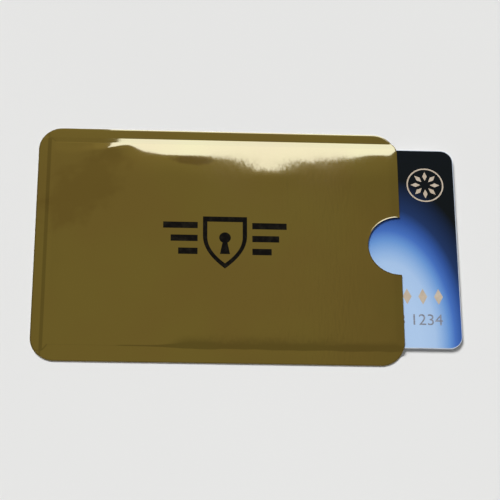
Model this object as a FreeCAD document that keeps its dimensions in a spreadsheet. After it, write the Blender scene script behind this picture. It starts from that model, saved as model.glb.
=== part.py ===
import FreeCAD, Part
import Sketcher
import math
import os

# A shielding card sleeve lying on its back, with a contactless card partly drawn out of its mouth.
# The origin is the centre of the sleeve's back face, +X points out of the mouth and +Z up.

doc = FreeCAD.newDocument("card_sleeve")

# Driving dimensions in millimetres
SIZES = (
    ("card_length", "85.60", "card along the sleeve"),
    ("card_width", "53.98", "card across the sleeve"),
    ("card_corner_radius", "3.18", "card corner"),
    ("card_showing", "14.3", "card outside the mouth at rest"),
    ("overlay_thickness", "0.04", "clear film on each card face"),
    ("print_sheet_thickness", "0.10", "printed sheet under each overlay"),
    ("lower_core_thickness", "0.10", "plain core sheet"),
    ("inlay_thickness", "0.05", "carrier sheet of the antenna"),
    ("track_width", "0.50", "antenna track"),
    ("track_gap", "0.50", "space between antenna turns"),
    ("track_thickness", "0.03", "antenna foil"),
    ("coil_margin", "4.0", "card edge to the outermost turn"),
    ("module_width", "5.1", "chip module leads along the turns"),
    ("lead_thickness", "0.08", "chip module leads"),
    ("lead_lap", "0.15", "lead past the inner edge of its track"),
    ("lead_overhang", "1.3", "lead past the outer edge of its track"),
    ("mould_width", "4.6", "chip module body along the turns"),
    ("mould_thickness", "0.22", "chip module body"),
    ("film_thickness", "0.05", "outer gold film of each panel"),
    ("foil_thickness", "0.03", "aluminium shield of each panel"),
    ("liner_thickness", "0.07", "heat-seal liner of each panel"),
    ("seal_width", "3.0", "fused border on three sides"),
    ("ramp_run", "1.1", "rise of the front panel beside the seal"),
    ("side_clearance", "0.41", "card edge to the foot of the flat front"),
    ("end_clearance", "0.40", "same at the closed end, card pushed home"),
    ("face_clearance", "0.06", "card face to liner, above and below"),
    ("mouth_margin", "0.90", "card end inside the mouth, card pushed home"),
    ("sleeve_corner_radius", "6.0", "sleeve corner"),
    ("notch_radius", "7.8", "half-round thumb notch in the mouth"),
    ("notch_inset", "0.35", "notch centre in from the mouth"),
    ("cut_overrun", "1.0", "reach of a cutting tool past the work"),
)
sizes = doc.addObject("Spreadsheet::Sheet", "Sizes")
for row, (alias, millimetres, meaning) in enumerate(SIZES, 1):
    sizes.set(f"A{row}", meaning)
    sizes.set(f"B{row}", millimetres)
    sizes.setAlias(f"B{row}", alias)

# The coil runs round the card this many times
COIL_TURNS = 5

# Places and fits that follow from the driving dimensions
PLACES = (
    ("track_pitch", "Sizes.track_width + Sizes.track_gap"),
    ("coil_span", f"{COIL_TURNS} * track_pitch"),
    ("coil_half_length", "Sizes.card_length / 2 - Sizes.coil_margin - Sizes.track_width / 2"),
    ("coil_half_width", "Sizes.card_width / 2 - Sizes.coil_margin - Sizes.track_width / 2"),
    ("module_centre", "-coil_half_length + coil_span / 2"),
    ("lead_inner", "coil_span / 2 - Sizes.track_width / 2 - Sizes.lead_lap"),
    ("lead_outer", "coil_span / 2 + Sizes.track_width / 2 + Sizes.lead_overhang"),
    ("upper_core_thickness", "Sizes.track_thickness + Sizes.lead_thickness + Sizes.mould_thickness"),
    ("panel_thickness", "Sizes.film_thickness + Sizes.foil_thickness + Sizes.liner_thickness"),
    ("card_bottom", "panel_thickness + Sizes.face_clearance"),
    ("back_sheet_bottom", "card_bottom + Sizes.overlay_thickness"),
    ("lower_core_bottom", "back_sheet_bottom + Sizes.print_sheet_thickness"),
    ("inlay_bottom", "lower_core_bottom + Sizes.lower_core_thickness"),
    ("antenna_bottom", "inlay_bottom + Sizes.inlay_thickness"),
    ("module_bottom", "antenna_bottom + Sizes.track_thickness"),
    ("front_sheet_bottom", "antenna_bottom + upper_core_thickness"),
    ("front_overlay_bottom", "front_sheet_bottom + Sizes.print_sheet_thickness"),
    ("card_top", "front_overlay_bottom + Sizes.overlay_thickness"),
    ("pocket_height", "card_top - card_bottom + 2 * Sizes.face_clearance"),
    ("border", "Sizes.seal_width + Sizes.ramp_run"),
    ("sleeve_length", "border + Sizes.end_clearance + Sizes.card_length + Sizes.mouth_margin"),
    ("sleeve_width", "Sizes.card_width + 2 * (Sizes.side_clearance + border)"),
    ("mouth", "sleeve_length / 2"),
    ("closed_end", "-sleeve_length / 2"),
    ("side", "sleeve_width / 2"),
    ("pocket_end", "closed_end + Sizes.seal_width"),
    ("pocket_side", "side - Sizes.seal_width"),
    ("front_end", "pocket_end + Sizes.ramp_run"),
    ("front_side", "pocket_side - Sizes.ramp_run"),
    ("card_rest", "mouth + Sizes.card_showing - Sizes.card_length / 2"),
    ("foil_top", "Sizes.film_thickness + Sizes.foil_thickness"),
    ("weld_top", "foil_top + 2 * Sizes.liner_thickness"),
    ("front_film_bottom", "weld_top + Sizes.foil_thickness"),
    ("front_liner_bottom", "panel_thickness + pocket_height"),
    ("sleeve_top", "2 * panel_thickness + pocket_height"),
)
places = doc.addObject("Spreadsheet::Sheet", "Places")
for row, (alias, formula) in enumerate(PLACES, 1):
    places.set(f"A{row}", alias)
    places.set(f"B{row}", "=" + formula)
    places.setAlias(f"B{row}", alias)
doc.recompute()


def bind(item, formulas):
    """Tie properties of an object to the two sheets."""
    for path, formula in formulas.items():
        item.setExpression(path, formula)


def attached_sketch(body, name, role):
    """An empty sketch on one of the body's own origin planes."""
    sketch = body.newObject("Sketcher::SketchObject", name)
    plane = next(item for item in body.Origin.OriginFeatures if item.Role == role)
    sketch.AttachmentSupport = (plane, "")
    sketch.MapMode = "FlatFace"
    return sketch


def draw_polygon(sketch, points):
    """A closed polygon whose corners are tied to formulas."""
    corners = [FreeCAD.Vector(places.evalExpression(x), places.evalExpression(y), 0) for x, y in points]
    first = sketch.GeometryCount
    count = len(points)
    for index in range(count):
        sketch.addGeometry(Part.LineSegment(corners[index], corners[(index + 1) % count]), False)
    for index in range(count):
        line = first + index
        following = first + (index + 1) % count
        sketch.addConstraint(Sketcher.Constraint("Coincident", line, 2, following, 1))
    for index, formulas in enumerate(points):
        for kind, formula, start in zip(("DistanceX", "DistanceY"), formulas, corners[index]):
            datum = sketch.addConstraint(Sketcher.Constraint(kind, first + index, 1, start))
            sketch.setExpression(f"Constraints[{datum}]", formula)


def draw_rounded_rectangle(sketch, length, width, radius):
    """A rectangle about the sketch's origin with four equal round corners."""
    x = places.evalExpression(length) / 2
    y = places.evalExpression(width) / 2
    r = places.evalExpression(radius)
    quarter = math.pi / 2
    up = FreeCAD.Vector(0, 0, 1)
    sides = (
        ((r - x, -y), (x - r, -y)),
        ((x, r - y), (x, y - r)),
        ((x - r, y), (r - x, y)),
        ((-x, y - r), (-x, r - y)),
    )
    for start, end in sides:
        sketch.addGeometry(Part.LineSegment(FreeCAD.Vector(*start), FreeCAD.Vector(*end)), False)
    centres = ((x - r, r - y), (x - r, y - r), (r - x, y - r), (r - x, r - y))
    for turn, centre in enumerate(centres):
        circle = Part.Circle(FreeCAD.Vector(*centre), up, r)
        sketch.addGeometry(Part.ArcOfCircle(circle, (turn - 1) * quarter, turn * quarter), False)
    for line in range(4):
        arc = line + 4
        sketch.addConstraint(Sketcher.Constraint("Tangent", line, 2, arc, 1))
        sketch.addConstraint(Sketcher.Constraint("Tangent", arc, 2, (line + 1) % 4, 1))
        sketch.addConstraint(Sketcher.Constraint("Vertical" if line % 2 else "Horizontal", line))
    for arc in (5, 6, 7):
        sketch.addConstraint(Sketcher.Constraint("Equal", 4, arc))
    sketch.addConstraint(Sketcher.Constraint("Symmetric", 0, 1, 2, 1, -1, 1))
    datums = (
        (Sketcher.Constraint("DistanceX", 3, 1, 1, 1, 2 * x), length),
        (Sketcher.Constraint("DistanceY", 0, 1, 2, 1, 2 * y), width),
        (Sketcher.Constraint("Radius", 4, r), radius),
    )
    for constraint, formula in datums:
        sketch.setExpression(f"Constraints[{sketch.addConstraint(constraint)}]", formula)


def pad(body, sketch, thickness):
    """Raise a sketch by a formula's thickness."""
    feature = body.newObject("PartDesign::Pad", f"{sketch.Name}_pad")
    feature.Profile = sketch
    bind(feature, {"Length": thickness})
    return feature


def box(name, length, width, height, corner):
    """A box with its lowest corner at three formulas."""
    block = doc.addObject("Part::Box", name)
    bind(block, {"Length": length, "Width": width, "Height": height})
    bind(block, {f"Placement.Base.{axis}": formula for axis, formula in zip("xyz", corner)})
    return block


def boolean(kind, name, base, tool):
    """Part::Cut, Part::Fuse or Part::Common of two objects."""
    result = doc.addObject(f"Part::{kind}", name)
    result.Base = base
    result.Tool = tool
    return result


nodes = []

# Cutting die: the outline that all sleeve layers share, with rounded corners and the thumb notch
die = doc.addObject("PartDesign::Body", "cutting_die")
die_outline = attached_sketch(die, "die_outline", "XY_Plane")
FULL_PLATE = ("Places.sleeve_length", "Places.sleeve_width")
draw_rounded_rectangle(die_outline, *FULL_PLATE, "Sizes.sleeve_corner_radius")
pad(die, die_outline, "Places.sleeve_top + 2 * Sizes.cut_overrun")
bind(die, {"Placement.Base.z": "-Sizes.cut_overrun"})
notch = doc.addObject("Part::Cylinder", "thumb_notch")
bind(notch, {
    "Radius": "Sizes.notch_radius",
    "Height": "Places.sleeve_top + 4 * Sizes.cut_overrun",
    "Placement.Base.x": "Places.mouth - Sizes.notch_inset",
    "Placement.Base.z": "-2 * Sizes.cut_overrun",
})
notched_die = boolean("Cut", "notched_die", die, notch)


def die_cut(name, blank):
    """Trim a sleeve layer to the shared outline and count it as a piece."""
    nodes.append(boolean("Common", name, blank, notched_die))


# Back panel: gold film and aluminium foil, flat over the whole outline
for name, thickness, level in (
    ("back_film", "Sizes.film_thickness", "0"),
    ("back_foil", "Sizes.foil_thickness", "Sizes.film_thickness"),
):
    corner = ("Places.closed_end", "-Places.side", level)
    die_cut(name, box(f"{name}_blank", *FULL_PLATE, thickness, corner))

# Back liner: the floor of the pocket, up to the fused border
die_cut("back_liner", box(
    "back_liner_blank",
    "Places.mouth - Places.pocket_end",
    "2 * Places.pocket_side",
    "Sizes.liner_thickness",
    ("Places.pocket_end", "-Places.pocket_side", "Places.foil_top"),
))

# Fused border: flat seal and the liner's ramp up to the front panel, as one section
WELD_SECTION = (
    ("Places.side", "Places.foil_top"),
    ("Places.side", "Places.weld_top"),
    ("Places.pocket_side", "Places.weld_top"),
    ("Places.front_side", "Places.weld_top + Places.pocket_height"),
    ("Places.front_side", "Places.front_liner_bottom"),
    ("Places.pocket_side", "Places.panel_thickness"),
    ("Places.pocket_side", "Places.foil_top"),
)

# Mitre block: the quarter turn of plan in which the end weld lies, its edges on the corner diagonals
mitre_block = box(
    "mitre_block",
    "Places.sleeve_length",
    "Places.sleeve_length",
    "Places.sleeve_top + 2 * Sizes.cut_overrun",
    ("Places.closed_end + Places.side", "0", "-Sizes.cut_overrun"),
)
mitre_block.Placement.Rotation = FreeCAD.Rotation(FreeCAD.Vector(0, 0, 1), 135)

# Side welds, mirrored about the sleeve's long axis
for name, sign in (("upper_side_weld", ""), ("lower_side_weld", "-")):
    strip = doc.addObject("PartDesign::Body", f"{name}_strip")
    section = attached_sketch(strip, f"{name}_section", "YZ_Plane")
    draw_polygon(section, [(sign + across, level) for across, level in WELD_SECTION])
    pad(strip, section, "Places.sleeve_length")
    bind(strip, {"Placement.Base.x": "Places.closed_end"})
    die_cut(name, boolean("Cut", f"{name}_mitred", strip, mitre_block))

# End weld: the same section run across the closed end
end_strip = doc.addObject("PartDesign::Body", "end_weld_strip")
end_section = attached_sketch(end_strip, "end_weld_section", "XZ_Plane")
END_FLIP = "Places.closed_end + Places.side"
draw_polygon(end_section, [(f"{END_FLIP} - {across}", level) for across, level in WELD_SECTION])
pad(end_strip, end_section, "Places.sleeve_width")
bind(end_strip, {"Placement.Base.y": "Places.side"})
die_cut("end_weld", boolean("Common", "end_weld_mitred", end_strip, mitre_block))

# Front liner: the flat roof of the pocket
die_cut("front_liner", box(
    "front_liner_blank",
    "Places.mouth - Places.front_end",
    "2 * Places.front_side",
    "Sizes.liner_thickness",
    ("Places.front_end", "-Places.front_side", "Places.front_liner_bottom"),
))


def pocket_form(name, level):
    """The pocket's raised form: sloped on three sides and straight out of the mouth."""
    form = doc.addObject("Part::Wedge", name)
    bind(form, {
        "Xmin": "Places.pocket_end",
        "X2min": "Places.front_end",
        "Xmax": "Places.mouth + Sizes.cut_overrun",
        "X2max": "Places.mouth + Sizes.cut_overrun",
        "Ymin": "0",
        "Ymax": "Places.pocket_height",
        "Zmin": "-Places.pocket_side",
        "Zmax": "Places.pocket_side",
        "Z2min": "-Places.front_side",
        "Z2max": "Places.front_side",
        "Placement.Base.z": level,
    })
    form.Placement.Rotation = FreeCAD.Rotation(FreeCAD.Vector(1, 0, 0), 90)
    return form


# Front panel: aluminium foil and gold film, flat on the seals and raised over the pocket
for name, thickness, level in (
    ("front_foil", "Sizes.foil_thickness", "Places.weld_top"),
    ("front_film", "Sizes.film_thickness", "Places.front_film_bottom"),
):
    plate = box(f"{name}_plate", *FULL_PLATE, thickness, ("Places.closed_end", "-Places.side", level))
    raised = boolean("Fuse", f"{name}_raised", plate, pocket_form(f"{name}_crown", f"{level} + {thickness}"))
    die_cut(name, boolean("Cut", f"{name}_hollowed", raised, pocket_form(f"{name}_hollow", level)))


def place_in_card(item, level):
    """Move a card piece to the card's rest place and its own level."""
    bind(item, {"Placement.Base.x": "Places.card_rest", "Placement.Base.z": level})


def card_sheet(name, thickness, level):
    """One full sheet of the laminated card."""
    sheet = doc.addObject("PartDesign::Body", name)
    outline = attached_sketch(sheet, f"{name}_outline", "XY_Plane")
    draw_rounded_rectangle(outline, "Sizes.card_length", "Sizes.card_width", "Sizes.card_corner_radius")
    pad(sheet, outline, thickness)
    place_in_card(sheet, level)
    return sheet


# Card sheets
for name, thickness, level in (
    ("card_back_overlay", "Sizes.overlay_thickness", "Places.card_bottom"),
    ("card_back_sheet", "Sizes.print_sheet_thickness", "Places.back_sheet_bottom"),
    ("card_lower_core", "Sizes.lower_core_thickness", "Places.lower_core_bottom"),
    ("card_inlay", "Sizes.inlay_thickness", "Places.inlay_bottom"),
    ("card_front_sheet", "Sizes.print_sheet_thickness", "Places.front_sheet_bottom"),
    ("card_front_overlay", "Sizes.overlay_thickness", "Places.front_overlay_bottom"),
):
    nodes.append(card_sheet(name, thickness, level))

# Antenna: a square-cornered spiral that starts and ends under the chip module's two leads
antenna = doc.addObject("PartDesign::Body", "card_antenna")
coil = attached_sketch(antenna, "coil_outline", "XY_Plane")
HALF_TRACK = "Sizes.track_width / 2"


def coil_edge(offset):
    """The corners of one edge of the track, from its outer end to its inner end."""
    length = f"(Places.coil_half_length + {offset} - %d * Places.track_pitch)"
    width = f"(Places.coil_half_width + {offset} - %d * Places.track_pitch)"
    edge = [(f"-{length % 0}", "-Sizes.module_width / 2")]
    for turn in range(COIL_TURNS):
        edge.append((f"-{length % turn}", width % turn))
        edge.append((length % turn, width % turn))
        edge.append((length % turn, f"-{width % turn}"))
        edge.append((f"-{length % (turn + 1)}", f"-{width % turn}"))
    edge.append((f"-{length % COIL_TURNS}", "Sizes.module_width / 2"))
    return edge


draw_polygon(coil, coil_edge(HALF_TRACK) + coil_edge(f"-{HALF_TRACK}")[::-1])
pad(antenna, coil, "Sizes.track_thickness")
place_in_card(antenna, "Places.antenna_bottom")
nodes.append(antenna)


def rectangle(start, end, half_width):
    """Corners of a rectangle that runs between two places along X."""
    return [(start, f"-{half_width}"), (end, f"-{half_width}"), (end, half_width), (start, half_width)]


# Chip module: a moulded body over the middle turns, on two leads that rest on the coil's ends
module = doc.addObject("PartDesign::Body", "card_chip_module")
mould_outline = attached_sketch(module, "mould_outline", "XY_Plane")
bind(mould_outline, {"AttachmentOffset.Base.z": "Sizes.lead_thickness"})
MODULE = "Places.module_centre"
draw_polygon(mould_outline, rectangle(
    f"{MODULE} - Places.coil_span / 2", f"{MODULE} + Places.coil_span / 2", "Sizes.mould_width / 2"))
pad(module, mould_outline, "Sizes.mould_thickness")
lead_outline = attached_sketch(module, "lead_outline", "XY_Plane")
for sign in "-+":
    inner = f"{MODULE} {sign} Places.lead_inner"
    outer = f"{MODULE} {sign} Places.lead_outer"
    draw_polygon(lead_outline, rectangle(inner, outer, "Sizes.module_width / 2"))
pad(module, lead_outline, "Sizes.lead_thickness")
place_in_card(module, "Places.module_bottom")
nodes.append(module)

# Upper core: the sheet that flowed round the coil and the module
core_blank = card_sheet("upper_core_blank", "Places.upper_core_thickness", "Places.antenna_bottom")
core_round_coil = boolean("Cut", "core_round_coil", core_blank, antenna)
nodes.append(boolean("Cut", "card_upper_core", core_round_coil, module))

doc.recompute()

# Every object has to be sound before anything is written
for item in doc.Objects:
    if "Invalid" in item.State or "Error" in item.State:
        raise RuntimeError(f"{item.Label} failed: {item.State}")
for node in nodes:
    if node.Shape.isNull() or not node.Shape.isValid() or not node.Shape.Solids:
        raise RuntimeError(f"{node.Label} is not a sound solid")

os.makedirs("parts", exist_ok=True)
for node in nodes:
    node.Shape.exportStep(f"parts/{node.Label}.step")
    print(node.Label, len(node.Shape.Solids), "solid", round(node.Shape.Volume, 3), "mm3")
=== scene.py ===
import math

import bmesh
import bpy
from mathutils import Matrix, Vector


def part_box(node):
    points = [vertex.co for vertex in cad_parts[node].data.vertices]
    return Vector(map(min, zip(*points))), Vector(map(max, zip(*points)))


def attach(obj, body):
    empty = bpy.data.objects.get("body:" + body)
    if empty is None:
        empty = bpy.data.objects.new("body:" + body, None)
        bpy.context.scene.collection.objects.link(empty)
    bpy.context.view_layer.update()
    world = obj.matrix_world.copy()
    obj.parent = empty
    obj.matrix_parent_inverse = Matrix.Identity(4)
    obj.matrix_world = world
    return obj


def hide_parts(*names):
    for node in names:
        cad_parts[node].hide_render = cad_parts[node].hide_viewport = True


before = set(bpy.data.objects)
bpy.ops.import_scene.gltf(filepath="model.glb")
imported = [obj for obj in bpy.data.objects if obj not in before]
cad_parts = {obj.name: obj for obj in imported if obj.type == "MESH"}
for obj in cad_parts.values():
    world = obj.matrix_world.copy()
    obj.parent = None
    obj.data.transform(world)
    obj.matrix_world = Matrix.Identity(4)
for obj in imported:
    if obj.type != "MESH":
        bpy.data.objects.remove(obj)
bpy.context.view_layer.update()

# Back panel: gold-lacquered polyester film bonded to aluminium foil and die-cut together with the front.
# It lies flat on the table. The film is the sleeve's outer face and the foil shows only at cut edges.
MM = 0.001
NOISE_LOW = 0.35
NOISE_HIGH = 0.65
FILM_OLIVE = (0.450, 0.323, 0.064, 1)
FILM_WARM = (0.442, 0.302, 0.063, 1)
FILM_GLANCING = (0.82, 0.75, 0.55, 1)
FILM_CLOUDS_PER_M = 38
FILM_STREAKS_PER_M = (1500, 300, 0)
FILM_PEEL_PER_M = 420
FILM_RELIEF = 0.020 * MM
PEEL_SHARE = 0.04
STREAK_SHARE = 0.04
STRAINED_X = 15 * MM
STRAINED_REACH = 26 * MM
STRAINED_FULL = 10.4 * MM
STRAINED_TOP_Y = 28.9 * MM
STRAINED_TOP_FULL_Y = 27.9 * MM
FILM_ROUGHNESS = 0.03
STRAINED_ROUGHNESS = 0.05
SMEAR_ROUGHNESS = 0.015
SMEARS_PER_M = 210
# Each patch of painted dark reflection has its colour, its middle in plan, its turn, and its half length
# and half width
PAINTED_REFLECTION_PATCHES = (
    ((0.392, 0.262, 0.053, 1), -33.6 * MM, 14.8 * MM, math.radians(48), 17 * MM, 8.5 * MM),
    ((0.325, 0.212, 0.046, 1), -6.8 * MM, 22.7 * MM, math.radians(-2), 6.8 * MM, 1.6 * MM),
)
PATCH_RIM = 1.0
PATCH_FULL = 0.4
PATCH_UNEVEN = 1.3
PATCH_UNEVEN_PER_M = 240
FOIL_BRIGHT = (0.80, 0.80, 0.81, 1)
FOIL_DULL = (0.70, 0.70, 0.72, 1)
FOIL_ROLLING_PER_M = (60, 4000, 4000)
FOIL_RELIEF = 0.002 * MM
FOIL_ROUGHNESS = 0.2
FOIL_ROUGHNESS_SPAN = 0.15


class Wire:
    """A node socket for use in Python sums: every operation adds its Math node to the tree."""

    def __init__(self, tree, socket=None):
        self.tree = tree
        self.socket = socket

    def node(self, kind, settings, sockets, output=0):
        """Add any node: its settings first, then a value or a wire for each of its sockets."""
        made = self.tree.nodes.new(kind)
        for name, value in settings.items():
            if name == "stops":
                ramp = made.color_ramp.elements
                for position, colour in value[2:]:
                    ramp.new(position)
                for element, (position, colour) in zip(ramp, value):
                    element.position = position
                    element.color = colour
            else:
                setattr(made, name, value)
        for key, value in sockets.items():
            if isinstance(value, Wire):
                self.tree.links.new(value.socket, made.inputs[key])
            else:
                made.inputs[key].default_value = value
        return Wire(self.tree, made.outputs[output]) if made.outputs else None

    def other(self, output):
        """Another output of the node that this wire leaves."""
        return Wire(self.tree, self.socket.node.outputs[output])

    def math(self, operation, *values):
        return self.node("ShaderNodeMath", {"operation": operation}, dict(enumerate(values)))

    def __add__(self, value):
        return self.math("ADD", self, value)

    def __radd__(self, value):
        return self.math("ADD", value, self)

    def __sub__(self, value):
        return self.math("SUBTRACT", self, value)

    def __rsub__(self, value):
        return self.math("SUBTRACT", value, self)

    def __mul__(self, value):
        return self.math("MULTIPLY", self, value)

    def __rmul__(self, value):
        return self.math("MULTIPLY", value, self)

    def __truediv__(self, value):
        return self.math("DIVIDE", self, value)

    def __rtruediv__(self, value):
        return self.math("DIVIDE", value, self)


def eased(value, low, high):
    """Nought below low, one above high and a smooth step between."""
    return value.node("ShaderNodeMapRange", {"interpolation_type": "SMOOTHSTEP"},
                      {"Value": value, "From Min": low, "From Max": high})


def length_of(across, along):
    """The length of a vector in plan from its two parts."""
    return across.math("SQRT", across * across + along * along)


def mixed(share, first, second):
    """Two colours mixed by a wire's share of the second."""
    return share.node("ShaderNodeMix", {"data_type": "RGBA"}, {0: share, 6: first, 7: second}, output=2)


def scaled(place, factors):
    return place.node("ShaderNodeVectorMath", {"operation": "MULTIPLY"}, {0: place, 1: factors})


def grain(place, per_metre, detail=2.0):
    """Noise from nought to one at a scale, or a stretched one where three scales are given."""
    if isinstance(per_metre, tuple):
        place = scaled(place, per_metre)
        per_metre = 1.0
    return place.node("ShaderNodeTexNoise", {}, {"Vector": place, "Scale": per_metre, "Detail": detail})


def relief(height, distance):
    """A bumped normal for a surface whose height runs from nought to one."""
    return height.node("ShaderNodeBump", {}, {"Strength": 1.0, "Distance": distance, "Height": height})


def start_material(name):
    """A new node material and the wire of its Object coordinates."""
    material = bpy.data.materials.new(name)
    material.use_nodes = True
    material.node_tree.nodes.clear()
    return material, Wire(material.node_tree).node("ShaderNodeTexCoord", {}, {}, output="Object")


def end_material(place, sockets):
    surface = place.node("ShaderNodeBsdfPrincipled", {}, sockets)
    place.node("ShaderNodeOutputMaterial", {}, {"Surface": surface})


def dress(material, *names):
    """Give CAD nodes a finished material."""
    for name in names:
        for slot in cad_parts[name].material_slots:
            slot.link = "OBJECT"
            slot.material = material


# The film is drawn into fine streaks across its middle, where it is strained most. Two browner patches on
# it are
# painted dark reflection: a broad one near the closed end and a short one under the upper side.
gold_film, place = start_material("gold_film")
x = place.node("ShaderNodeSeparateXYZ", {}, {0: place})
strained = eased(x.math("ABSOLUTE", x - STRAINED_X), STRAINED_REACH, STRAINED_FULL)
strained = strained * eased(x.other("Y"), STRAINED_TOP_Y, STRAINED_TOP_FULL_Y)
streaks = grain(place, FILM_STREAKS_PER_M) * (STREAK_SHARE + (1 - STREAK_SHARE) * strained)
lacquer_and_painted_reflection = mixed(eased(grain(place, FILM_CLOUDS_PER_M), NOISE_LOW, NOISE_HIGH), FILM_OLIVE, FILM_WARM)
# Patches of painted dark reflection, mixed over the lacquer's own cloudy tone
for tone, patch_x, patch_y, turn, length, width in PAINTED_REFLECTION_PATCHES:
    across = x - patch_x
    along = x.other("Y") - patch_y
    off_patch = length_of((across * math.cos(turn) + along * math.sin(turn)) / length,
                          (along * math.cos(turn) - across * math.sin(turn)) / width)
    off_patch = off_patch + PATCH_UNEVEN * (grain(place, PATCH_UNEVEN_PER_M) - 0.5)
    lacquer_and_painted_reflection = mixed(eased(off_patch, PATCH_RIM, PATCH_FULL), lacquer_and_painted_reflection, tone)
smears = grain(place, SMEARS_PER_M)
end_material(place, {
    "Base Color": lacquer_and_painted_reflection,
    "Metallic": 1.0,
    "Roughness": FILM_ROUGHNESS + STRAINED_ROUGHNESS * strained + SMEAR_ROUGHNESS * smears,
    "Specular Tint": FILM_GLANCING,
    "Normal": relief(PEEL_SHARE * grain(place, FILM_PEEL_PER_M) + streaks, FILM_RELIEF),
})

shield_foil, place = start_material("shield_foil")
rolling = grain(place, FOIL_ROLLING_PER_M)
end_material(place, {
    "Base Color": mixed(rolling, FOIL_DULL, FOIL_BRIGHT),
    "Metallic": 1.0,
    "Roughness": FOIL_ROUGHNESS + FOIL_ROUGHNESS_SPAN * rolling,
    "Normal": relief(rolling, FOIL_RELIEF),
})

dress(gold_film, "back_film")
dress(shield_foil, "back_foil")

# Pocket lining: milky polyethylene on the inside of both panels. A hot bar fuses the two linings along
# both long sides and the closed end, which leaves a flat seal and a rise up to the pocket's roof.
LINER_CLOUDY = (0.80, 0.80, 0.77, 1)
LINER_THIN = (0.70, 0.70, 0.67, 1)
LINER_CLOUDS_PER_M = 160
LINER_RELIEF = 0.004 * MM
LINER_ROUGHNESS = 0.38
LINER_ROUGHNESS_SPAN = 0.2
LINER_IOR = 1.51

seal_liner, place = start_material("seal_liner")
clouds = grain(place, LINER_CLOUDS_PER_M, detail=4.0)
end_material(place, {
    "Base Color": mixed(clouds, LINER_THIN, LINER_CLOUDY),
    "Roughness": LINER_ROUGHNESS + LINER_ROUGHNESS_SPAN * clouds,
    "Normal": relief(clouds, LINER_RELIEF),
    "IOR": LINER_IOR,
})
dress(seal_liner, "back_liner", "upper_side_weld", "lower_side_weld", "end_weld")

# Card core: white plastic sheets fused in a press, which show as the card's white edge. Inside lie the
# carrier sheet, the antenna coil etched from foil, and the black moulded chip module on its coil ends.
CORE_WHITE = (0.86, 0.86, 0.85, 1)
CORE_SHADE = (0.78, 0.78, 0.77, 1)
CORE_SPECKS_PER_M = 900
CORE_ROUGHNESS = 0.45
CORE_ROUGHNESS_SPAN = 0.15
COIL_METAL = (0.76, 0.76, 0.78, 1)
COIL_TARNISH = (0.62, 0.60, 0.57, 1)
COIL_SPECKS_PER_M = 2500
COIL_ROUGHNESS = 0.25
COIL_ROUGHNESS_SPAN = 0.2
MOULD_BLACK = (0.022, 0.022, 0.024, 1)
MOULD_GREY = (0.05, 0.05, 0.052, 1)
MOULD_SPECKS_PER_M = 6000
MOULD_ROUGHNESS = 0.55
MOULD_ROUGHNESS_SPAN = 0.2
SMALL_RELIEF = 0.003 * MM

card_core, place = start_material("card_core")
specks = grain(place, CORE_SPECKS_PER_M)
end_material(place, {
    "Base Color": mixed(specks, CORE_SHADE, CORE_WHITE),
    "Roughness": CORE_ROUGHNESS + CORE_ROUGHNESS_SPAN * specks,
    "Normal": relief(specks, SMALL_RELIEF),
})
dress(card_core, "card_lower_core", "card_inlay", "card_upper_core")

antenna_foil, place = start_material("antenna_foil")
specks = grain(place, COIL_SPECKS_PER_M)
end_material(place, {
    "Base Color": mixed(specks, COIL_TARNISH, COIL_METAL),
    "Metallic": 1.0,
    "Roughness": COIL_ROUGHNESS + COIL_ROUGHNESS_SPAN * specks,
})
dress(antenna_foil, "card_antenna")

chip_mould, place = start_material("chip_mould")
specks = grain(place, MOULD_SPECKS_PER_M)
end_material(place, {
    "Base Color": mixed(specks, MOULD_BLACK, MOULD_GREY),
    "Roughness": MOULD_ROUGHNESS + MOULD_ROUGHNESS_SPAN * specks,
    "Normal": relief(specks, SMALL_RELIEF),
})
dress(chip_mould, "card_chip_module")

# Card faces: a printed sheet under a clear glossy film, front and back, punched to the card's outline.
# The print is a pale glow that falls away through blue to near black, with a bare hairline at the edge.
card_low, card_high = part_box("card_front_overlay")
CARD_CORNER = 3.18 * MM
GLOW_X = 42 * MM
GLOW_Y = -24 * MM
GLOW_HEIGHT_SHARE = 0.57
GLOW_REACH = 32.3 * MM
GLOW_STOPS = (
    (0.24, (0.44, 0.61, 0.86, 1)),
    (0.345, (0.40, 0.57, 0.83, 1)),
    (0.39, (0.30, 0.48, 0.78, 1)),
    (0.455, (0.14, 0.31, 0.67, 1)),
    (0.50, (0.062, 0.165, 0.52, 1)),
    (0.555, (0.030, 0.088, 0.33, 1)),
    (0.61, (0.013, 0.034, 0.114, 1)),
    (0.76, (0.003, 0.005, 0.006, 1)),
)
BARE_EDGE = (0.62, 0.70, 0.82, 1)
EDGE_HAIRLINE = 0.16 * MM
PRINT_GRAIN_PER_M = 5200
PRINT_GRAIN_SHARE = 0.14
SCUFF_STREAKS_PER_M = (90, 1600, 0)
FACE_ROUGHNESS = 0.05
SCUFF_ROUGHNESS = 0.05
FACE_SPECULAR = 0.22
BACK_REACH_SHARE = 0.6


def inset_in_plan(x, y, half_length, half_width, corner):
    """How far a place lies inside a rounded rectangle about the origin."""
    past_x = x.math("ABSOLUTE", x) - half_length + corner
    past_y = y.math("ABSOLUTE", y) - half_width + corner
    beyond = length_of(x.math("MAXIMUM", past_x, 0.0), y.math("MAXIMUM", past_y, 0.0))
    within = x.math("MINIMUM", x.math("MAXIMUM", past_x, past_y), 0.0)
    return corner - beyond - within


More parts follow.
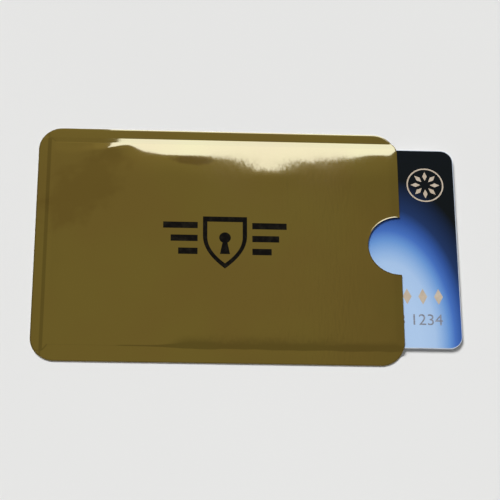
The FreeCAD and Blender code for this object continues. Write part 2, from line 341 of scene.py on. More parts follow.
def card_face(name, reach_share):
    """The printed face with its clear film. A smaller share of the reach spreads the glow further."""
    material, place = start_material(name)
    x = place.node("ShaderNodeSeparateXYZ", {}, {0: place})
    y = x.other("Y")
    middle = (card_low.x + card_high.x) / 2
    inset = inset_in_plan(x - middle, y, (card_high.x - card_low.x) / 2, card_high.y, CARD_CORNER)
    reach = length_of(x - GLOW_X, (y - GLOW_Y) * GLOW_HEIGHT_SHARE) / GLOW_REACH
    glow = reach.node("ShaderNodeValToRGB", {"stops": GLOW_STOPS}, {0: reach * reach_share})
    dots = grain(place, PRINT_GRAIN_PER_M)
    printed = scaled(glow, 1 + PRINT_GRAIN_SHARE * (dots - 0.5))
    scuffs = grain(place, SCUFF_STREAKS_PER_M, detail=5.0)
    end_material(place, {
        "Base Color": mixed(eased(inset, EDGE_HAIRLINE, EDGE_HAIRLINE / 2), printed, BARE_EDGE),
        "Roughness": FACE_ROUGHNESS + SCUFF_ROUGHNESS * scuffs,
        "Specular IOR Level": FACE_SPECULAR,
    })
    return material


front_face = card_face("card_front_print", 1.0)
back_face = card_face("card_back_print", BACK_REACH_SHARE)
dress(front_face, "card_front_sheet", "card_front_overlay")
dress(back_face, "card_back_sheet", "card_back_overlay")

# Stamping on the card's face: a rosette in a ring and a row of lozenges in thin gold foil, pressed on
# hot, above a plain number printed in grey. All of it is about a hundredth of a millimetre thick.
STAMP_THICKNESS = 0.012 * MM
ROSETTE_X = 52.4 * MM
ROSETTE_Y = 17.2 * MM
RING_RADIUS = 4.7 * MM
RING_LINE = 0.36 * MM
RING_STEPS = 64
PETALS = 8
PETAL_LENGTH = 2.5 * MM
PETAL_WIDTH = 1.15 * MM
PETAL_CIRCLE = 2.45 * MM
LOZENGES = 7
LOZENGE_PITCH = 3.9 * MM
LOZENGE_LENGTH = 2.2 * MM
LOZENGE_HEIGHT = 4.2 * MM
LOZENGE_LAST_X = 54.4 * MM
LOZENGE_Y = -13.4 * MM
NUMBER = "5678 1234"
NUMBER_HEIGHT = 3.0 * MM
NUMBER_END_X = 55.3 * MM
NUMBER_Y = -20.9 * MM
DIGIT_HEIGHT_SHARE = 0.73
STAMP_GOLD = (0.46, 0.35, 0.24, 1)
STAMP_PALE = (0.66, 0.58, 0.47, 1)
STAMP_WEAR_PER_M = 700
STAMP_ROUGHNESS = 0.3
NUMBER_GREY = (0.20, 0.21, 0.25, 1)
NUMBER_WORN = (0.32, 0.34, 0.40, 1)
NUMBER_WEAR_PER_M = 2100
NUMBER_WEAR_LOW = 0.3
NUMBER_WEAR_HIGH = 0.8
NUMBER_ROUGHNESS = 0.4
STAMP_ROUGHNESS_SPAN = 0.2
STAMP_SPECULAR = 0.1
SHARP_FROM = 25
card_top = card_high.z


def new_piece(name, mesh):
    piece = bpy.data.objects.new(name, mesh)
    bpy.context.scene.collection.objects.link(piece)
    return piece


def start_tree(name, inputs):
    """A Geometry Nodes tree with named inputs, and a wire from each of them."""
    tree = bpy.data.node_groups.new(name, "GeometryNodeTree")
    for label, kind in {"Geometry": "Geometry", **inputs, "Material": "Material"}.items():
        tree.interface.new_socket(label, in_out="INPUT", socket_type="NodeSocket" + kind)
    tree.interface.new_socket("Geometry", in_out="OUTPUT", socket_type="NodeSocketGeometry")
    start = tree.nodes.new("NodeGroupInput")
    return tree, {socket.name: Wire(tree, socket) for socket in start.outputs if socket.name}


def end_tree(geometry, material):
    real = geometry.node("GeometryNodeRealizeInstances", {}, {"Geometry": geometry})
    painted = real.node("GeometryNodeSetMaterial", {}, {"Geometry": real, "Material": material})
    painted.node("NodeGroupOutput", {}, {"Geometry": painted})


def run_tree(piece, tree, values):
    """Hang a tree on a piece, with its named inputs set."""
    modifier = piece.modifiers.new(tree.name, "NODES")
    modifier.node_group = tree
    for item in tree.interface.items_tree:
        if item.name in values:
            modifier[item.identifier] = values[item.name]


def thicken(piece, thickness):
    """Give flat faces a thickness upwards."""
    solid = piece.modifiers.new("thickness", "SOLIDIFY")
    solid.thickness = thickness
    solid.offset = 1.0


def settle(piece):
    """Make a piece with its modifiers a plain mesh, smooth but for its sharp edges."""
    graph = bpy.context.evaluated_depsgraph_get()
    mesh = bpy.data.meshes.new_from_object(piece.evaluated_get(graph), depsgraph=graph)
    piece.modifiers.clear()
    piece.data = mesh
    mesh.shade_smooth()
    mesh.set_sharp_from_angle(angle=math.radians(SHARP_FROM))
    return piece


stamp_foil, place = start_material("stamp_foil")
wear = grain(place, STAMP_WEAR_PER_M, detail=3.0)
end_material(place, {
    "Base Color": mixed(wear, STAMP_GOLD, STAMP_PALE),
    "Roughness": STAMP_ROUGHNESS + STAMP_ROUGHNESS_SPAN * wear,
    "Specular IOR Level": STAMP_SPECULAR,
})

number_ink, place = start_material("number_ink")
wear = eased(grain(place, NUMBER_WEAR_PER_M), NUMBER_WEAR_LOW, NUMBER_WEAR_HIGH)
end_material(place, {
    "Base Color": mixed(wear, NUMBER_GREY, NUMBER_WORN),
    "Roughness": NUMBER_ROUGHNESS + STAMP_ROUGHNESS_SPAN * grain(place, STAMP_WEAR_PER_M),
    "Specular IOR Level": STAMP_SPECULAR,
})

# A row of lozenges and a ring of petals are the same four-cornered patch, set out on a line or a circle
patch_tree, patch = start_tree("stamped_patches", {
    "Count": "Int", "Circle": "Float", "Pitch": "Float", "Start": "Vector", "Size": "Vector",
})
turn = patch["Count"].node("GeometryNodeInputIndex", {}, {})
angle = turn * (math.tau / patch["Count"])
ray = turn.node("ShaderNodeCombineXYZ", {}, {
    "X": patch["Circle"] * turn.math("COSINE", angle) + turn * patch["Pitch"],
    "Y": patch["Circle"] * turn.math("SINE", angle),
})
spots = turn.node("GeometryNodeMeshLine", {}, {"Count": patch["Count"]})
spots = spots.node("GeometryNodeSetPosition", {}, {
    "Geometry": spots,
    "Position": ray.node("ShaderNodeVectorMath", {"operation": "ADD"}, {0: ray, 1: patch["Start"]}),
})
shape = turn.node("GeometryNodeMeshCircle", {"fill_type": "NGON"}, {"Vertices": 4, "Radius": 0.5})
turned = patch["Circle"].math("GREATER_THAN", patch["Circle"], 0.0) * angle
patches = spots.node("GeometryNodeInstanceOnPoints", {}, {
    "Points": spots,
    "Instance": shape,
    "Rotation": turned.node("ShaderNodeCombineXYZ", {}, {"Z": turned}),
    "Scale": patch["Size"],
})
end_tree(patches, patch["Material"])

for name, values in (
    ("card_rosette_petals", {
        "Count": PETALS, "Circle": PETAL_CIRCLE, "Pitch": 0.0,
        "Start": (ROSETTE_X, ROSETTE_Y, card_top), "Size": (PETAL_LENGTH, PETAL_WIDTH, 1.0),
    }),
    ("card_lozenges", {
        "Count": LOZENGES, "Circle": 0.0, "Pitch": -LOZENGE_PITCH,
        "Start": (LOZENGE_LAST_X, LOZENGE_Y, card_top), "Size": (LOZENGE_LENGTH, LOZENGE_HEIGHT, 1.0),
    }),
):
    stamping = new_piece(name, bpy.data.meshes.new(name))
    run_tree(stamping, patch_tree, {**values, "Material": stamp_foil})
    thicken(stamping, STAMP_THICKNESS)
    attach(settle(stamping), "card")


def ring_points(radius, steps, x=0.0, y=0.0):
    return [(x + radius * math.cos(math.tau * step / steps), y + radius * math.sin(math.tau * step / steps))
            for step in range(steps)]


def band_faces(mesh, outer, inner, level):
    """The flat band between two outlines with as many points."""
    rows = [[mesh.verts.new((x, y, level)) for x, y in points] for points in (outer, inner)]
    for step in range(len(outer)):
        follow = (step + 1) % len(outer)
        mesh.faces.new((rows[0][step], rows[0][follow], rows[1][follow], rows[1][step]))


def flat_piece(name, mesh, material):
    """A piece from flat faces drawn in plan."""
    data = bpy.data.meshes.new(name)
    mesh.to_mesh(data)
    mesh.free()
    data.materials.append(material)
    return new_piece(name, data)


ring = bmesh.new()
band_faces(ring, ring_points(RING_RADIUS, RING_STEPS, ROSETTE_X, ROSETTE_Y),
           ring_points(RING_RADIUS - RING_LINE, RING_STEPS, ROSETTE_X, ROSETTE_Y), card_top)
rosette_ring = flat_piece("card_rosette_ring", ring, stamp_foil)
thicken(rosette_ring, STAMP_THICKNESS)
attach(settle(rosette_ring), "card")

digits = bpy.data.curves.new("card_number", "FONT")
digits.body = NUMBER
digits.size = NUMBER_HEIGHT / DIGIT_HEIGHT_SHARE
digits.align_x = "RIGHT"
digits.extrude = STAMP_THICKNESS / 2
digits.materials.append(number_ink)
lettering = new_piece("card_number", digits)
graph = bpy.context.evaluated_depsgraph_get()
number_mesh = bpy.data.meshes.new_from_object(lettering.evaluated_get(graph), depsgraph=graph)
bpy.data.objects.remove(lettering)
number_mesh.transform(Matrix.Translation((NUMBER_END_X, NUMBER_Y, card_top + STAMP_THICKNESS / 2)))
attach(new_piece("card_number_print", number_mesh), "card")

# Front panel: lining, foil and gold film cut by the same die, raised over the card by the pocket and
# held down by the seals. The film is slack along the upper edge, where it bulges and buckles a little.
film_low, film_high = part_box("front_film")
foil_low, foil_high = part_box("front_foil")
liner_low, liner_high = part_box("front_liner")
pocket_low, pocket_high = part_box("back_liner")
SLEEVE_CORNER = 6.0 * MM
NOTCH_RADIUS = 7.8 * MM
NOTCH_INSET = 0.35 * MM
CORNER_STEPS = 48
NOTCH_STEPS = 90
STRAIGHT_STEP = 0.8 * MM
CUT_TOLERANCE = 1e-8
RIM_INSETS = (0.04 * MM, 0.06 * MM, 0.08 * MM, 0.10 * MM, 0.06 * MM)
FILM_SLACK = 0.12 * MM
RAMP_EASE = 0.10 * MM
CALM_RAMPS = 4
# Ruled lines in millimetres, each run with its first line, its last line and the step between lines. They
# lie closer over the ramps and under the streak, where the film turns most.
PANEL_X_LINES = ((-45.0, -43.8, 0.6), (-43.6, -40.8, 0.1), (-40.5, -38.1, 0.4), (-37.5, -32.25, 0.75),
                 (-32.0, -22.25, 0.25), (-21.75, 44.75, 0.7))
PANEL_Y_LINES = ((-31.0, -29.4, 0.8), (-29.0, -26.8, 0.1), (-26.6, -20.2, 0.4), (-19.5, 14.5, 1.0),
                 (15.0, 26.6, 0.4), (26.8, 29.4, 0.1), (30.0, 31.2, 0.6))
pocket_rise = liner_high.z - foil_low.z
film_thickness = film_high.z - foil_high.z
# Sizes of the film's form over the card, each a named input of the tree below
FORM = {
    "Pocket side": pocket_high.y,
    "Pocket end": pocket_low.x,
    "Mouth": film_high.x,
    "Half width": film_high.y,
    "Corner": SLEEVE_CORNER,
    "Notch": NOTCH_RADIUS,
    "Notch X": film_high.x - NOTCH_INSET,
    "Rise": pocket_rise + FILM_SLACK,
    "Ramp": liner_low.x - pocket_low.x + RAMP_EASE,
    "Ramp lead": 0.10 * MM,
    "Upper ramp": 1.34 * MM,
    "Upper lead": 0.40 * MM,
    "Upper rounding": 0.28 * MM,
    "Lower ramp": 0.90 * MM,
    "Lower lead": 0.40 * MM,
    "Lower rounding": 0.90 * MM,
    "Lower crease": 0.28 * MM,
    "Crumple": 0.30,
    "Crumple per m": 170.0,
    "Card end": card_low.x,
    "Card end reach": 5.0 * MM,
    "End foot": 0.80 * MM,
    "Crease": 0.0,
    "Corner blend": 0.05,
    "Bulge slope": 0.092,
    "Bulge reach": 9.0 * MM,
    "Bulge X": 10.0 * MM,
    "Bulge length": 31.2 * MM,
    "Bulge start": -29.0 * MM,
    "Bulge full": -18.5 * MM,
    "Edge slope": 0.045,
    "Edge reach": 5.5 * MM,
    "Edge start": card_low.x + 8.0 * MM,
    "Edge full": card_low.x + 20.0 * MM,
    "Dent": -0.027 * MM,
    "Dent X": -5.0 * MM,
    "Dent Y": 21.5 * MM,
    "Dent length": 4.5 * MM,
    "Dent width": 3.0 * MM,
    "Buckle": 0.114 * MM,
    "Buckle X": 12.6 * MM,
    "Buckle Y": 18.1 * MM,
    "Buckle length": 5.6 * MM,
    "Buckle width": 3.6 * MM,
    "Card corner": 0.080 * MM,
    "Card corner X": -29.0 * MM,
    "Card corner Y": 25.2 * MM,
    "Card corner length": 4.1 * MM,
    "Card corner width": 1.7 * MM,
    "Card corner lean": 1.1,
    "Gape": 0.12 * MM,
    "Gape X": film_high.x,
    "Gape Y": 0.0,
    "Gape length": 14.0 * MM,
    "Gape width": 12.0 * MM,
    "Droop": 0.07 * MM,
    "Droop reach": 2.0 * MM,
    "Ripple": 0.10 * MM,
    "Ripple per m": 42.0,
    "Edge roll": 0.020 * MM,
    "Roll width": 0.28 * MM,
    "Lip rise": 0.05 * MM,
    "Lip width": 0.30 * MM,
    "Film level": film_low.z,
    "Film": film_thickness,
}

form_tree, size = start_tree("formed_over_pocket", dict.fromkeys(FORM, "Float"))
spot = size["Mouth"].node("GeometryNodeInputPosition", {}, {})
x = spot.node("ShaderNodeSeparateXYZ", {}, {0: spot})
y = x.other("Y")
z = x.other("Z")


def softened(value, rounding):
    """Nought below nought and the value above, with a rounded turn between."""
    return value.math("SMOOTH_MAX", value, 0.0, rounding)


def ramp(distance, lead, run, foot, top):
    """The share of the pocket's rise at a distance in from the seal."""
    return (softened(distance + lead, foot) - softened(distance - run, top)) / (lead + run)


def swell(distance, run, slope, reach):
    """A soft bulge that leaves the top of a ramp at a slope and dies away past its reach."""
    inward = softened(distance - run, size["Upper rounding"])
    return slope * inward * inward.math("EXPONENT", 0.0 - inward / reach)


from_upper = size["Pocket side"] - y
from_lower = size["Pocket side"] + y
from_end = x - size["Pocket end"]
over_card = eased(x, size["Edge start"], size["Edge full"])
past_card_end = eased(x, size["Card end"], size["Card end"] + size["Card end reach"])
crumple = x.node("ShaderNodeTexNoise", {"noise_dimensions": "1D"}, {
    "W": x, "Scale": size["Crumple per m"], "Detail": 1.0})
uncrumpled = 1 - size["Crumple"] * eased(crumple, NOISE_LOW, NOISE_HIGH)
lower_rounding = size["Lower crease"] * past_card_end + size["Lower rounding"] * over_card
lower_rounding = lower_rounding * uncrumpled
upper = ramp(from_upper, size["Upper lead"], size["Upper ramp"], size["Crease"], size["Upper rounding"])
lower = ramp(from_lower, size["Lower lead"], size["Lower ramp"], size["Crease"], lower_rounding)
end = ramp(from_end, size["Ramp lead"], size["Ramp"], size["End foot"], size["Crease"])
roof = x.math("SMOOTH_MIN", upper, lower, size["Corner blend"])
roof = x.math("SMOOTH_MIN", roof, end, size["Corner blend"])

off_middle = (x - size["Bulge X"]) / size["Bulge length"]
along = eased(x, size["Bulge start"], size["Bulge full"]) / (1 + off_middle * off_middle)
bulge = swell(from_upper, size["Upper ramp"], size["Bulge slope"], size["Bulge reach"]) * along
edges = swell(from_lower, size["Lower ramp"], size["Edge slope"], size["Edge reach"]) * over_card


def mound(name, lengthwise=x):
    """A low swelling of the film about a place of its own."""
    off_x = (lengthwise - size[name + " X"]) / size[name + " length"]
    off_y = (y - size[name + " Y"]) / size[name + " width"]
    return size[name] * x.math("EXPONENT", 0.0 - off_x * off_x - off_y * off_y)


def rolled(inset, width):
    """One at a cut edge, falling to nought over a width."""
    share = x.math("MAXIMUM", 1 - inset / width, 0.0)
    return share * share


leaning = x - size["Card corner lean"] * (y - size["Card corner Y"])
mounds = mound("Buckle") + mound("Dent") + mound("Card corner", leaning) + mound("Gape")
off_seals = eased(x.math("MINIMUM", from_upper, from_lower), size["Ramp"], size["Ramp"] * CALM_RAMPS)
droop = size["Droop"] * off_seals * rolled(size["Mouth"] - x, size["Droop reach"])
ripple = size["Ripple"] * off_seals * (spot.node("ShaderNodeTexNoise", {"noise_dimensions": "2D"}, {
    "Vector": spot, "Scale": size["Ripple per m"], "Detail": 2.0}) - 0.5)
height = roof * (size["Rise"] + bulge + edges + mounds + ripple - droop)
outer_inset = inset_in_plan(x, y, size["Mouth"], size["Half width"], size["Corner"])
notch_inset = length_of(x - size["Notch X"], y) - size["Notch"]
upper_face = z.math("MAXIMUM", (z - size["Film level"]) / size["Film"], 0.0)
rim = upper_face * (size["Lip rise"] * rolled(notch_inset, size["Lip width"])
                    - size["Edge roll"] * rolled(outer_inset, size["Roll width"]))
lift = x.node("ShaderNodeCombineXYZ", {}, {"Z": height + rim})
end_tree(lift.node("GeometryNodeSetPosition", {}, {"Geometry": size["Geometry"], "Offset": lift}),
         size["Material"])


def arc(x, y, radius, start, end, steps):
    """Points of an arc, its angles in quarter turns."""
    angles = [math.radians(90 * (start + (end - start) * step / steps)) for step in range(steps + 1)]
    return [(x + radius * math.cos(angle), y + radius * math.sin(angle)) for angle in angles]


def die_outline():
    """The sleeve's outline in plan, from the notch's lower end round by the lower side, in short steps."""
    corner_x = film_high.x - SLEEVE_CORNER
    corner_y = film_high.y - SLEEVE_CORNER
    corners = arc(corner_x, -corner_y, SLEEVE_CORNER, 4, 3, CORNER_STEPS)
    corners += arc(-corner_x, -corner_y, SLEEVE_CORNER, 3, 2, CORNER_STEPS)
    corners += arc(-corner_x, corner_y, SLEEVE_CORNER, 2, 1, CORNER_STEPS)
    corners += arc(corner_x, corner_y, SLEEVE_CORNER, 1, 0, CORNER_STEPS)
    corners.append((film_high.x, NOTCH_RADIUS))
    corners += arc(film_high.x - NOTCH_INSET, 0.0, NOTCH_RADIUS, 1, 3, NOTCH_STEPS)
    corners.append((film_high.x, -NOTCH_RADIUS))
    points = []
    for (x, y), (next_x, next_y) in zip(corners, corners[1:] + corners[:1]):
        steps = math.ceil(math.hypot(next_x - x, next_y - y) / STRAIGHT_STEP)
        for step in range(steps):
            points.append((x + (next_x - x) * step / steps, y + (next_y - y) * step / steps))
    return points


def cut_by(mesh, faces, x=None, y=None, drop=False):
    """Cut faces along a line of plan, and drop what lies beyond it if asked. The cut faces come back."""
    place = (x or 0.0, y or 0.0, 0.0)
    normal = (1.0 if x is not None else 0.0, 1.0 if y is not None else 0.0, 0.0)
    if drop:
        normal = [part * (1 if sum(place) > 0 else -1) for part in normal]
    edges = {edge for face in faces for edge in face.edges}
    verts = {vert for face in faces for vert in face.verts}
    cut = bmesh.ops.bisect_plane(mesh, geom=[*faces, *edges, *verts], plane_co=place, plane_no=normal,
                                 dist=CUT_TOLERANCE, clear_outer=drop)
    return [item for item in cut["geom"] if isinstance(item, bmesh.types.BMFace)]


def rule_lines(mesh, faces):
    """Cut flat faces into the fine squares that let them bend over the pocket."""
    for spans, axis in ((PANEL_X_LINES, "x"), (PANEL_Y_LINES, "y")):
        for start, end, step in spans:
            for count in range(round((end - start) / step) + 1):
                faces = cut_by(mesh, faces, **{axis: (start + count * step) * MM})


def plate(mesh, thickness):
    """Close a flat sheet into a plate of a thickness."""
    grown = bmesh.ops.extrude_face_region(mesh, geom=mesh.faces[:], use_keep_orig=True)
    upper = [item for item in grown["geom"] if isinstance(item, bmesh.types.BMVert)]
    bmesh.ops.translate(mesh, verts=upper, vec=(0, 0, thickness))
    bmesh.ops.recalc_face_normals(mesh, faces=mesh.faces[:])


def formed(name, mesh, ruled, thickness, material):
    """A flat sheet ruled over the faces given, made a plate and bent over the pocket."""
    rule_lines(mesh, ruled)
    plate(mesh, thickness)
    piece = flat_piece(name, mesh, material)
    run_tree(piece, form_tree, {**FORM, "Material": material})
    return settle(piece)


def die_cut(level):
    sheet = bmesh.new()
    sheet.faces.new([sheet.verts.new((x, y, level)) for x, y in die_outline()])
    return sheet


lining = die_cut(liner_low.z - pocket_rise)
for side in ({"x": liner_low.x}, {"y": liner_low.y}, {"y": liner_high.y}):
    cut_by(lining, lining.faces[:], **side, drop=True)
lining = formed("front_lining", lining, lining.faces[:], liner_high.z - liner_low.z, seal_liner)
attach(lining, "sleeve")
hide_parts("front_liner")

shield = die_cut(foil_low.z)
shield = formed("front_shield", shield, shield.faces[:], film_low.z - foil_low.z, shield_foil)
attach(shield, "sleeve")
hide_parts("front_foil")

skin = die_cut(film_low.z)
inner = skin.faces[:]
for inset in RIM_INSETS:
    bmesh.ops.inset_region(skin, faces=inner, thickness=inset, use_boundary=True, use_even_offset=True)
skin = formed("front_skin", skin, inner, film_thickness, gold_film)
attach(skin, "sleeve")
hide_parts("front_film")

# Print on the front: a shield with a keyhole between two sets of bars, screen-printed in black ink.
# The ink is a thin dry layer on the film and bends with it.
INK_THICKNESS = 0.004 * MM
INK_BLACK = (0.006, 0.005, 0.003, 1)
INK_THIN = (0.014, 0.012, 0.007, 1)
INK_CLOUDS_PER_M = 900
INK_THIN_FROM = 0.4
INK_THIN_FULL = 0.75
INK_ROUGHNESS = 0.42
INK_ROUGHNESS_SPAN = 0.2
INK_SPECULAR = 0.02
MARK_X = 1.6 * MM
SHIELD_WIDTH = 11.0 * MM
SHIELD_HEIGHT = 14.0 * MM
SHIELD_STRAIGHT_SHARE = 0.36
SHIELD_CURVE_POWER = 2.1
SHIELD_STEPS = 24
SHIELD_INNER_SHARE = 0.80
KEYHOLE_RADIUS = 1.45 * MM
KEYHOLE_Y = 1.3 * MM
KEYHOLE_STEPS = 28
KEYHOLE_NECK = 0.62 * MM
KEYHOLE_FOOT = 1.25 * MM
KEYHOLE_FOOT_Y = -3.1 * MM
BARS = 3
BAR_LONGEST = 8.6 * MM
BAR_STEP = 1.9 * MM
BAR_HEIGHT = 1.7 * MM
BAR_PITCH = 3.5 * MM
BAR_GAP = 1.3 * MM
BAR_TOP_Y = 4.6 * MM
BAR_POINTS_ALONG = 14
BAR_POINTS_ACROSS = 3

printing_ink, place = start_material("printing_ink")
thinness = grain(place, INK_CLOUDS_PER_M, detail=4.0)
end_material(place, {
    "Base Color": mixed(eased(thinness, INK_THIN_FROM, INK_THIN_FULL), INK_BLACK, INK_THIN),
    "Roughness": INK_ROUGHNESS + INK_ROUGHNESS_SPAN * thinness,
    "Specular IOR Level": INK_SPECULAR,
})
ink_level = film_low.z + film_thickness + INK_THICKNESS


def shield_outline(share):
    """The shield's outline, drawn in towards its middle by a share."""
    right = []
    for step in range(SHIELD_STEPS + 1):
        down = step / SHIELD_STEPS
        curve = max(down - SHIELD_STRAIGHT_SHARE, 0.0) / (1 - SHIELD_STRAIGHT_SHARE)
        right.append((SHIELD_WIDTH / 2 * (1 - curve ** SHIELD_CURVE_POWER), SHIELD_HEIGHT * (0.5 - down)))
    left = [(-x, y) for x, y in right[-2::-1]]
    return [(MARK_X + x * share, y * share) for x, y in right + left]


shield_mark = bmesh.new()
band_faces(shield_mark, shield_outline(1.0), shield_outline(SHIELD_INNER_SHARE), ink_level)
opening = math.asin(KEYHOLE_NECK / KEYHOLE_RADIUS) / math.radians(90)
keyhole = arc(MARK_X, KEYHOLE_Y, KEYHOLE_RADIUS, opening - 1, 3 - opening, KEYHOLE_STEPS)
keyhole += [(MARK_X - KEYHOLE_FOOT, KEYHOLE_FOOT_Y), (MARK_X + KEYHOLE_FOOT, KEYHOLE_FOOT_Y)]
shield_mark.faces.new([shield_mark.verts.new((x, y, ink_level)) for x, y in keyhole])
shield_print = formed("printed_shield", shield_mark, shield_mark.faces[:], INK_THICKNESS, printing_ink)
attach(shield_print, "sleeve")

bar_tree, bar = start_tree("printed_bars", {
    "Count": "Int", "Longest": "Float", "Step": "Float", "Height": "Float", "Pitch": "Float",
    "Inner X": "Float", "Top": "Vector", "Points along": "Int", "Points across": "Int",
})
row = bar["Count"].node("GeometryNodeInputIndex", {}, {})
length = bar["Longest"] - row * bar["Step"]
rows = row.node("GeometryNodeMeshLine", {}, {"Count": bar["Count"]})
cell = row.node("GeometryNodeMeshGrid", {}, {
    "Size X": 1.0, "Size Y": 1.0, "Vertices X": bar["Points along"], "Vertices Y": bar["Points across"]})
sides = []
for sign in (-1, 1):
    start = row.node("ShaderNodeCombineXYZ", {}, {
        "X": sign * (bar["Inner X"] + length * 0.5), "Y": 0.0 - row * bar["Pitch"]})
    laid = rows.node("GeometryNodeSetPosition", {}, {
        "Geometry": rows,
        "Position": start.node("ShaderNodeVectorMath", {"operation": "ADD"}, {0: start, 1: bar["Top"]}),
    })
    size_of_bar = row.node("ShaderNodeCombineXYZ", {}, {"X": length, "Y": bar["Height"], "Z": 1.0})
    sides.append(laid.node("GeometryNodeInstanceOnPoints", {}, {
        "Points": laid, "Instance": cell, "Scale": size_of_bar}))
both = row.node("GeometryNodeJoinGeometry", {}, {0: sides[0]})
both.tree.links.new(sides[1].socket, both.socket.node.inputs[0])
end_tree(both, bar["Material"])

bar_print = new_piece("printed_bars", bpy.data.meshes.new("printed_bars"))
run_tree(bar_print, bar_tree, {
    "Count": BARS, "Longest": BAR_LONGEST, "Step": BAR_STEP, "Height": BAR_HEIGHT, "Pitch": BAR_PITCH,
    "Inner X": SHIELD_WIDTH / 2 + BAR_GAP, "Top": (MARK_X, BAR_TOP_Y, ink_level),
    "Points along": BAR_POINTS_ALONG, "Points across": BAR_POINTS_ACROSS, "Material": printing_ink,
})
thicken(bar_print, INK_THICKNESS)
run_tree(bar_print, form_tree, {**FORM, "Material": printing_ink})
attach(settle(bar_print), "sleeve")

# Table and light: a pale table, a soft lamp beyond the sleeve to its left, and a dim room with a darker
# ceiling and side walls. A tall cool window stands beyond the sleeve, and its mirror image is the streak
# on the gold film.
TABLE_HALF = 4.0
TABLE_CELLS = 8
TABLE_DROP = 0.02 * MM
TABLE_PALE = (0.86, 0.86, 0.85, 1)
TABLE_SHADE = (0.82, 0.82, 0.81, 1)
TABLE_CLOUDS_PER_M = 6
TABLE_ROUGHNESS = 0.85
TABLE_ROUGHNESS_SPAN = 0.1
WINDOW_COOL = (0.199, 0.275, 1.0)
WINDOW_RADIANCE = 8.2
WINDOW_LEFT_X = -0.0479
WINDOW_WIDTH = 0.26
WINDOW_DISTANCE = 0.80
WINDOW_ELEVATION = 29.3
WINDOW_ROLL = -0.5
WINDOW_HEIGHT = 0.90
LAMP_STRENGTH = 2.9
LAMP_ANGLE = 25
LAMP_FROM = (-0.35, 0.55, 0.76)
ROOM_LEVEL = 0.305
ROOM_DIP = 0.090
ROOM_GLOW = 0.10
# Where the room is darker, and where it glows over the window, by how far a direction points beyond the
# sleeve or to its right, from -1 to 1. Each pair runs from the rim of that part to where it is full.
CEILING_BEYOND = (0.335, 0.29)
CEILING_NEAR = (-0.76, -0.69)
LEFT_WALL_MIDDLE = (-0.055, -0.11)
LEFT_WALL_OUTER = (-0.86, -0.74)
LEFT_WALL_SHARE = 0.9
RIGHT_WALL_MIDDLE = (0.085, 0.17)
RIGHT_WALL_SHARE = 0.6
ROOM_GLOW_NEAR = (0.43, 0.53)
ROOM_GLOW_BEYOND = (0.75, 0.60)

pale_table, place = start_material("pale_table")
clouds = grain(place, TABLE_CLOUDS_PER_M)
end_material(place, {
    "Base Color": mixed(clouds, TABLE_SHADE, TABLE_PALE),
    "Roughness": TABLE_ROUGHNESS + TABLE_ROUGHNESS_SPAN * clouds,
    "Specular IOR Level": 0.0,
})
table_mesh = bmesh.new()
bmesh.ops.create_grid(table_mesh, x_segments=TABLE_CELLS, y_segments=TABLE_CELLS, size=TABLE_HALF)
bmesh.ops.translate(table_mesh, verts=table_mesh.verts[:], vec=(0, 0, -TABLE_DROP))
table = flat_piece("table", table_mesh, pale_table)


def aim(name, data, source, target):
    """A lamp at a place, turned to a target with its width level."""
    lamp = new_piece(name, data)
    lamp.location = source
    lamp.rotation_euler = (Vector(target) - Vector(source)).to_track_quat("-Z", "Y").to_euler()
    lamp.visible_camera = False
    return lamp


window = bpy.data.lights.new("cool_window", "AREA")
window.shape = "RECTANGLE"
window.size = WINDOW_WIDTH
window.size_y = WINDOW_HEIGHT
window.color = WINDOW_COOL
window.energy = WINDOW_RADIANCE * math.pi * WINDOW_WIDTH * WINDOW_HEIGHT
window_x = WINDOW_LEFT_X + WINDOW_WIDTH / 2
tilt = math.radians(WINDOW_ELEVATION)
cool_window = aim("cool_window", window,
                  (window_x, WINDOW_DISTANCE * math.cos(tilt), WINDOW_DISTANCE * math.sin(tilt)),
                  (window_x, 0.0, 0.0))
cool_window.rotation_euler.rotate_axis("Z", math.radians(WINDOW_ROLL))
cool_window.visible_diffuse = False

soft_lamp = bpy.data.lights.new("soft_lamp", "SUN")
soft_lamp.energy = LAMP_STRENGTH
soft_lamp.angle = math.radians(LAMP_ANGLE)
aim("soft_lamp", soft_lamp, LAMP_FROM, (0.0, 0.0, 0.0)).visible_glossy = False

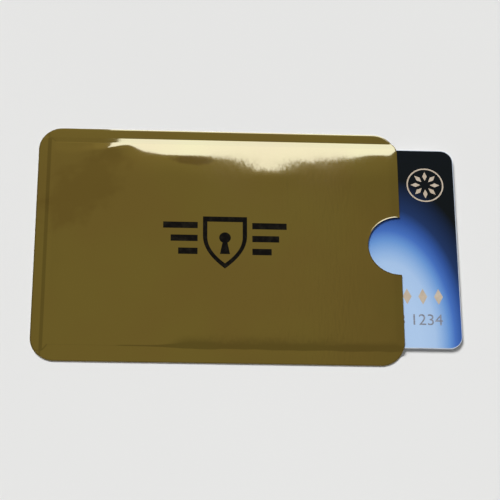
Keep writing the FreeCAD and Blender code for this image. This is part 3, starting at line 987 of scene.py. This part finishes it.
room = bpy.data.worlds.new("room")
room.use_nodes = True
room.node_tree.nodes.clear()
facing = Wire(room.node_tree).node("ShaderNodeTexCoord", {}, {}, output="Generated")
to_right = facing.node("ShaderNodeSeparateXYZ", {}, {0: facing})
beyond = to_right.other("Y")
ceiling = eased(beyond, *CEILING_BEYOND) * eased(beyond, *CEILING_NEAR)
left_wall = eased(to_right, *LEFT_WALL_MIDDLE) * eased(to_right, *LEFT_WALL_OUTER) * LEFT_WALL_SHARE
right_wall = eased(to_right, *RIGHT_WALL_MIDDLE) * RIGHT_WALL_SHARE
dip = 1 - (1 - ceiling) * (1 - left_wall - right_wall)
glow = eased(beyond, *ROOM_GLOW_NEAR) * eased(beyond, *ROOM_GLOW_BEYOND)
background = dip.node("ShaderNodeBackground", {}, {
    "Color": (1, 1, 1, 1), "Strength": ROOM_LEVEL - ROOM_DIP * dip + ROOM_GLOW * glow})
background.node("ShaderNodeOutputWorld", {}, {"Surface": background})
bpy.context.scene.world = room

# Camera: a long lens above and in front of the sleeve, a little to its left. It is aimed by angles in
# degrees and turned slightly about its own line of sight.
CAMERA_PLACE = (-15.56 * MM, -176.73 * MM, 397.8 * MM)
CAMERA_AZIMUTH = -7.613
CAMERA_ELEVATION = 66.012
CAMERA_ROLL = 8.049
LENS_MM = 126.0
SENSOR_MM = 36.0

azimuth = math.radians(CAMERA_AZIMUTH)
elevation = math.radians(CAMERA_ELEVATION)
ahead = Vector((-math.sin(azimuth) * math.cos(elevation), math.cos(azimuth) * math.cos(elevation),
                -math.sin(elevation)))
level = Vector((math.cos(azimuth), math.sin(azimuth), 0.0))
upright = level.cross(ahead)
turn = math.radians(CAMERA_ROLL)
right = math.cos(turn) * level + math.sin(turn) * upright
up = math.cos(turn) * upright - math.sin(turn) * level
lens = bpy.data.cameras.new("camera")
lens.lens = LENS_MM
lens.sensor_width = SENSOR_MM
lens.sensor_fit = "HORIZONTAL"
camera = new_piece("camera", lens)
camera.matrix_world = Matrix.Translation(CAMERA_PLACE) @ Matrix((right, up, -ahead)).transposed().to_4x4()
bpy.context.scene.camera = camera
bpy.context.scene.view_settings.view_transform = "Standard"
